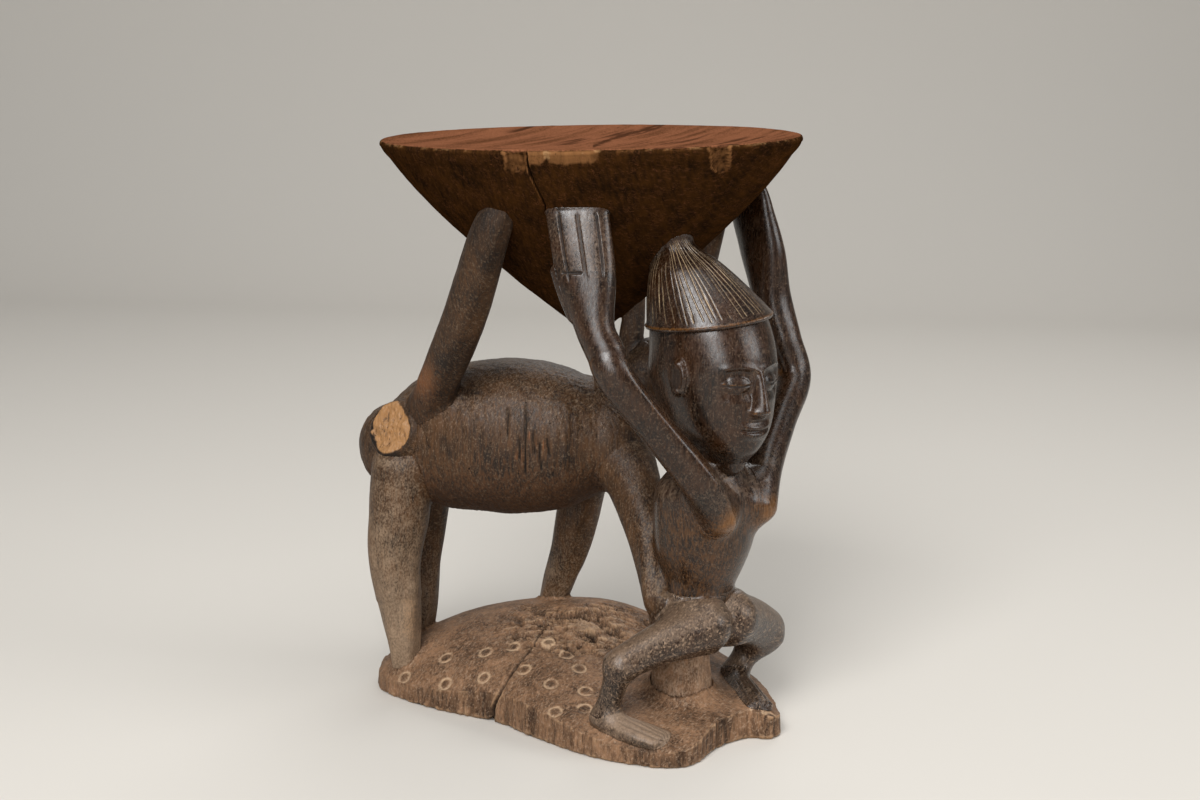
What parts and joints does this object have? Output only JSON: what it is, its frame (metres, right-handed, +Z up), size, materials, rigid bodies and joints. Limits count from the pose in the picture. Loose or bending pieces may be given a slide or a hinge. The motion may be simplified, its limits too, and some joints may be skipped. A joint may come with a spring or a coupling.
{
  "type": "carved caryatid stool",
  "caption": "Carved wooden stool: a kneeling figure with raised arms and a standing animal carry a bowl seat over a domed base.",
  "frame": {"origin": "on the floor under the seat's axis, on the flat underside of the base", "axes": "+Z up, +X to the right and +Y away from the viewer as pictured; the animal looks about along +X"},
  "size_m": [0.3606, 0.3335, 0.4557],
  "materials": {
    "seat": "dark stained carved wood, worn red-brown on the sitting face and rim",
    "base": "dusty grey-brown carved wood with incised ring spots",
    "animal": "dusty dark grey-brown carved wood",
    "figure": "polished near-black carved wood with worn orange-brown edges"
  },
  "bodies": {
    "root": {"animal_body": "animal", "animal_ear_left": "animal", "animal_ear_right": "animal", "animal_head": "animal", "animal_leg_front_left": "animal", "animal_leg_front_right": "animal", "animal_leg_hind_left": "animal", "animal_leg_hind_right": "animal", "animal_neck": "animal", "animal_rump_stump": "animal", "animal_tail": "animal", "base_plinth": "base", "figure_cap": "figure", "figure_ear_left": "figure", "figure_ear_right": "figure", "figure_foot_left": "figure", "figure_foot_right": "figure", "figure_forearm_left": "figure", "figure_forearm_right": "figure", "figure_hand_left": "figure", "figure_hand_right": "figure", "figure_head": "figure", "figure_neck": "figure", "figure_pelvis": "figure", "figure_seat_block": "figure", "figure_shin_left": "figure", "figure_shin_right": "figure", "figure_thigh_left": "figure", "figure_thigh_right": "figure", "figure_torso": "figure", "figure_upper_arm_left": "figure", "figure_upper_arm_right": "figure", "seat_bowl": "seat"}
  },
  "joints": []
}
